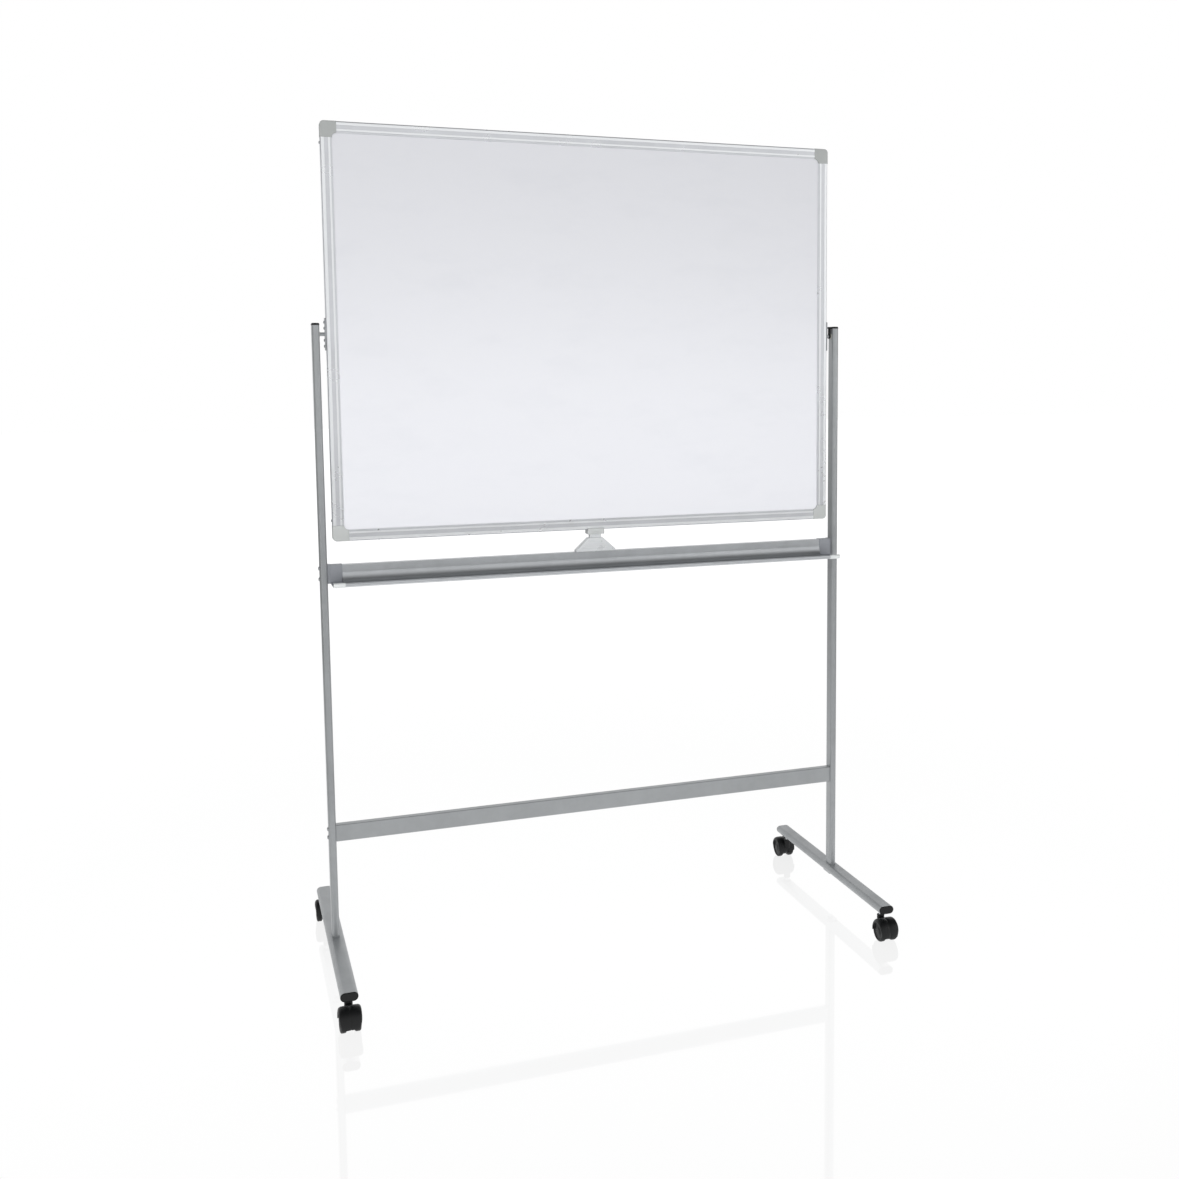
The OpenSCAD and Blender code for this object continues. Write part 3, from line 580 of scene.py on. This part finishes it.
def post_tops():
    """Two low domed caps on the posts."""
    bm = bmesh.new()
    cap_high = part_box("post_caps")[1]
    for side in SIDES:
        low, high = (Vector(corner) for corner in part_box(side + "_post"))
        middle = (low + high) / 2
        rings = []
        for height, inset in COLLAR + DOME:
            z = high.z + (cap_high[2] - high.z) * height
            outline = rounded_rect(high.x - low.x, high.y - low.y, POST_CORNER, inset * POST_ROUNDING * MM)
            rings.append([(middle.x + x, middle.y + y, z) for x, y in outline])
        skin(bm, rings)
    piece("post_cap_domes", bm, "stand", "black_plastic", ["post_caps"], sharp=50.0)


CAP_EDGE = 1.1 * MM
CAP_CORNER = 9.0 * MM


def corner_caps():
    """A moulded cap on each corner of the frame, with rounded edges and a curved inner corner."""
    for level in LEVELS:
        for side in SIDES:
            name = f"{level}_{side}_corner"
            low, high = (Vector(corner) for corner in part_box(name))
            rail_low, rail_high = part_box(level + "_rail")
            right, upper = side == "right", level == "top"
            corner_x, corner_z = (high.x if right else low.x), (high.z if upper else low.z)
            to_x, to_z = (-1 if right else 1), (-1 if upper else 1)
            length = abs((rail_high[0] if right else rail_low[0]) - corner_x)
            width = rail_high[2] - rail_low[2]
            outline = arc((CAP_CORNER, CAP_CORNER), CAP_CORNER, 180, 270, 8)
            outline += [(length, 0.0), (length, width)]
            outline += arc((length, length), length - width, 270, 180, 8)[1:]
            outline += [(0.0, length)]

            def place(u, v, depth):
                return (corner_x + to_x * u, depth, corner_z + to_z * v)

            bm = bmesh.new()
            pillow(bm, outline, place, low.y, high.y, CAP_EDGE)
            piece(name + "_cap", bm, "board", "corner_plastic", [name])


SCREWS = {"frame_screws": ("stand", "plain_steel"), "corner_screws": ("board", "plain_steel"),
          "pivot_screws": ("board", "plain_steel")}


def screw_head(bm, low, high):
    """A button head with a hexagonal socket, on the outer end of a screw that lies along X."""
    middle = (low + high) / 2
    out = 1 if middle.x > 0 else -1
    face = high.x if out > 0 else low.x
    radius = (high.y - low.y) / 2
    height = radius * 0.6
    socket = radius * 0.42
    # Share of the radius, and depth below the face, from the skirt outwards
    sections = [(1.0, height + 0.4 * MM), (1.0, height * 0.72), (0.94, height * 0.42),
                (0.82, height * 0.18), (0.66, height * 0.04), (0.55, 0.0)]
    steps = 36

    def ring(reach, depth, six=False):
        found = []
        for i in range(steps):
            angle = 2 * math.pi * i / steps
            r = reach
            if six:
                r = reach / math.cos((angle % (math.pi / 3)) - math.pi / 6)
            found.append((face - out * depth, middle.y + r * math.cos(angle),
                          middle.z + r * math.sin(angle)))
        return found

    rings = [ring(radius * share, depth) for share, depth in sections]
    rings += [ring(socket, 0.0, True), ring(socket * 0.96, height * 0.55, True)]
    skin(bm, rings)


def screw_heads():
    """A button head in place of each screw, without its shank."""
    for name, (body, finish) in SCREWS.items():
        bm = bmesh.new()
        for low, high in islands(name):
            screw_head(bm, low, high)
        piece(name + "_heads", bm, body, finish, [name], sharp=30.0)


CATCH_FOOT = 4.0 * MM
CATCH_SHOULDER = 3.5 * MM
CATCH_ROUNDING = 2.2 * MM
CATCH_EDGE = 1.3 * MM
RIBS = 4
RIB_PITCH = 5.2 * MM
RIB_HEIGHT = 0.35 * MM
RIB_HALF = 0.9 * MM
RIB_MARGIN = 6.5 * MM
RIB_ROUNDING = 0.8 * MM


def catch_housing():
    """The catch's moulded housing under the board, with raised ribs on both faces."""
    low, high = (Vector(corner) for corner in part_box("latch_housing"))
    neck_low, neck_high = (Vector(corner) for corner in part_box("latch_plunger"))
    half_foot = (high.x - low.x) / 2
    half_top = (neck_high.x - neck_low.x) / 2 + CATCH_SHOULDER
    height = high.z - low.z
    outline = softened([(-half_foot, 0.0), (half_foot, 0.0), (half_foot, CATCH_FOOT),
                        (half_top, height), (-half_top, height), (-half_foot, CATCH_FOOT)],
                       CATCH_ROUNDING)

    def place(u, v, depth):
        return ((low.x + high.x) / 2 + u, depth, low.z + v)

    bm = bmesh.new()
    pillow(bm, outline, place, low.y + RIB_HEIGHT, high.y - RIB_HEIGHT, CATCH_EDGE)
    slope = (half_foot - half_top) / (height - CATCH_FOOT)
    for row in range(1, RIBS + 1):
        v = CATCH_FOOT + row * RIB_PITCH
        half = half_foot - slope * (v - CATCH_FOOT) - RIB_MARGIN
        rib = softened([(-half, v - RIB_HALF), (half, v - RIB_HALF), (half, v + RIB_HALF),
                        (-half, v + RIB_HALF)], RIB_ROUNDING)
        pillow(bm, rib, place, low.y, high.y, RIB_HEIGHT)
    piece("catch_shell", bm, "stand", "catch_plastic", ["latch_housing"])


HUB_RADIUS = 6.5 * MM
TAB_HEIGHT = 4.4 * MM
TAB_REACH = 3.0 * MM
TAB_SLANT = 0.6 * MM
TAB_ROUNDING = 1.2 * MM
ARM_EDGE = 0.7 * MM
TAB_EDGE = 1.0 * MM


def lever():
    """The lock lever: a round hub on the pivot, a straight arm and a thumb tab."""
    low, high = (Vector(corner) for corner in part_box("lock_lever"))
    half_tab = (high.y - low.y) / 2
    pivot_z = low.z + HUB_RADIUS
    top = high.z - pivot_z
    tab_low = top - TAB_HEIGHT
    neck = HUB_RADIUS * 1.3
    arm = HUB_RADIUS * 0.46
    disc = HUB_RADIUS * 0.85
    outline = arc((0.0, 0.0), disc, 130, 410, 20)
    outline += [(arm, neck), (arm, tab_low), (half_tab, tab_low + TAB_SLANT), (half_tab, top),
                (-half_tab, top), (-half_tab, tab_low + TAB_SLANT), (-arm, tab_low), (-arm, neck)]

    def place(u, v, depth):
        return (depth, (low.y + high.y) / 2 + u, pivot_z + v)

    bm = bmesh.new()
    pillow(bm, outline, place, low.x + TAB_REACH, high.x, ARM_EDGE)
    tab = softened([(-half_tab, tab_low + 0.4 * MM), (half_tab, tab_low + 0.4 * MM), (half_tab, top),
                    (-half_tab, top)], TAB_ROUNDING)
    pillow(bm, tab, place, low.x, low.x + 2 * TAB_REACH, TAB_EDGE)
    piece("lever_arm", bm, "lock_lever", "black_plastic", ["lock_lever"])


def caster_details():
    """The canopy and the two wheels of each caster."""
    for caster in CASTERS:
        hood(caster)
        for which in ("outer", "inner"):
            wheel(f"{caster}_{which}_wheel")


# ---------------------------------------------------------------- studio

# Brightness of the soft room, where the background behind the object is 1
ROOM_FRONT = 0.93
ROOM_SIDE = 0.16
ROOM_TOP = 0.42
# How brightly the floor shows, and how much of that light it throws on the object
FLOOR_SEEN = 0.99
FLOOR_SEEN_FAR = 1.1
FLOOR_GIVEN = 0.95
FLOOR_GIVEN_FAR = 0.2
# The least share of the floor that mirrors
MIRROR_LEAST = 0.11


def studio_floor():
    """A wide pale glossy floor: it glows softly, so that it stays even, and mirrors the stand.
    The mirror image fades far from the stand."""
    bpy.ops.mesh.primitive_plane_add(size=60.0, location=(0.0, 0.0, 0.0))
    floor = bpy.context.object
    floor.name = "studio_floor"
    material = bpy.data.materials.new("studio_floor")
    n = Nodes(material)
    place = n.add("ShaderNodeTexCoord").outputs["Object"]
    seen = n.add("ShaderNodeLightPath").outputs["Is Camera Ray"]
    away = n.add("ShaderNodeVectorMath", {0: place}, operation="LENGTH").outputs["Value"]
    given = n.remap(away, 1.0, 4.0, FLOOR_GIVEN, FLOOR_GIVEN_FAR)
    shown = n.remap(away, 1.5, 8.0, FLOOR_SEEN, FLOOR_SEEN_FAR)
    strength = n.add("ShaderNodeMix", {0: seen, 2: given, 3: shown}).outputs[0]
    glow = n.add("ShaderNodeEmission", {"Color": (1.0, 1.0, 1.0, 1.0), "Strength": strength})
    matt = n.add("ShaderNodeBsdfDiffuse", {"Color": (0.04, 0.04, 0.04, 1.0)})
    roughness = n.remap(n.noise(place, 3.0), 0.3, 0.7, 0.03, 0.06)
    mirror = n.add("ShaderNodeBsdfGlossy", {"Color": (1.0, 1.0, 1.0, 1.0), "Roughness": roughness})
    fresnel = n.add("ShaderNodeFresnel", {"IOR": 1.45}).outputs["Fac"]
    share = n.math("MULTIPLY", n.math("MAXIMUM", fresnel, MIRROR_LEAST), n.remap(away, 2.5, 6.0, 1.0, 0.0))
    body = n.add("ShaderNodeAddShader", {0: glow.outputs[0], 1: matt.outputs[0]})
    whole = n.add("ShaderNodeMixShader", {0: share, 1: body.outputs[0], 2: mirror.outputs[0]})
    n.add("ShaderNodeOutputMaterial", {"Surface": whole.outputs[0]})
    floor.data.materials.append(material)


def studio_world():
    """White behind the object. Its light is a soft room: bright in front and behind, dim at the
    sides and overhead, so that round and shiny pieces show soft bands."""
    world = bpy.data.worlds.new("studio")
    bpy.context.scene.world = world
    n = Nodes(world)
    path = n.add("ShaderNodeLightPath").outputs
    direction = n.add("ShaderNodeTexCoord").outputs["Generated"]
    axes = n.add("ShaderNodeSeparateXYZ", {"Vector": direction}).outputs
    facing = n.math("ABSOLUTE", axes["Y"])
    walls = n.remap(facing, 0.15, 0.7, ROOM_SIDE, ROOM_FRONT)
    room = n.math("MULTIPLY", walls, n.remap(axes["Z"], 0.42, 0.9, 1.0, ROOM_TOP))
    strength = n.add("ShaderNodeMix", {0: path["Is Camera Ray"], 2: room, 3: 1.0}).outputs[0]
    background = n.add("ShaderNodeBackground", {"Color": (1.0, 1.0, 1.0, 1.0), "Strength": strength})
    n.add("ShaderNodeOutputWorld", {"Surface": background.outputs["Background"]})


def softbox(name, place, target, size, power, spread=180.0):
    """A large rectangular light at place, turned towards target."""
    data = bpy.data.lights.new(name, "AREA")
    data.shape = "RECTANGLE"
    data.size, data.size_y = size
    data.energy = power
    data.spread = math.radians(spread)
    light = bpy.data.objects.new(name, data)
    bpy.context.collection.objects.link(light)
    light.location = place
    light.rotation_euler = (Vector(target) - Vector(place)).to_track_quat("-Z", "Y").to_euler()
    light.visible_camera = False
    return light


def studio_lights():
    """Four large soft lights round the stand and two in one place low in front of the board. The
    strip and the shine light no matt surface and show only in glossy ones."""
    middle = (0.0, 0.0, 0.9)
    low_front = (-0.1, -0.85, 0.78)
    panel = (-0.1, 0.0, 1.3)
    key = softbox("key", (-2.6, -3.2, 3.4), middle, (2.6, 2.2), 30.0)
    strip = softbox("strip", (-3.2, -1.3, 1.2), (0.0, 0.0, 1.1), (0.45, 2.4), 5.0)
    strip.visible_diffuse = False
    softbox("fill", (3.4, -2.4, 2.0), middle, (1.8, 2.6), 12.0)
    back = softbox("back", (0.5, 3.4, 3.0), middle, (3.0, 2.0), 20.0)
    bounce = softbox("bounce", low_front, panel, (2.4, 0.3), 2.5, spread=105.0)
    # Seen in the floor, these would be white oblongs
    for light in (key, back, bounce):
        light.visible_glossy = False
    shine = softbox("shine", low_front, panel, (2.4, 0.3), 6.0, spread=105.0)
    shine.visible_diffuse = False


def photo_camera():
    """The camera that the stand is shown from."""
    data = bpy.data.cameras.new("camera")
    data.sensor_width = SENSOR
    data.lens = LENS
    data.shift_x, data.shift_y = SHIFT
    data.clip_end = 100.0
    camera = bpy.data.objects.new("camera", data)
    bpy.context.collection.objects.link(camera)
    aim = Matrix.Rotation(-YAW, 4, "Z") @ Matrix.Rotation(math.pi / 2 + PITCH, 4, "X")
    camera.matrix_world = Matrix.Translation(EYE) @ aim @ Matrix.Rotation(ROLL, 4, "Z")
    bpy.context.scene.camera = camera


bpy.context.scene.view_settings.view_transform = "Standard"
paint_cad_nodes()
caster_details()
foot_caps()
post_tops()
corner_caps()
screw_heads()
catch_housing()
lever()
studio_floor()
studio_world()
studio_lights()
photo_camera()
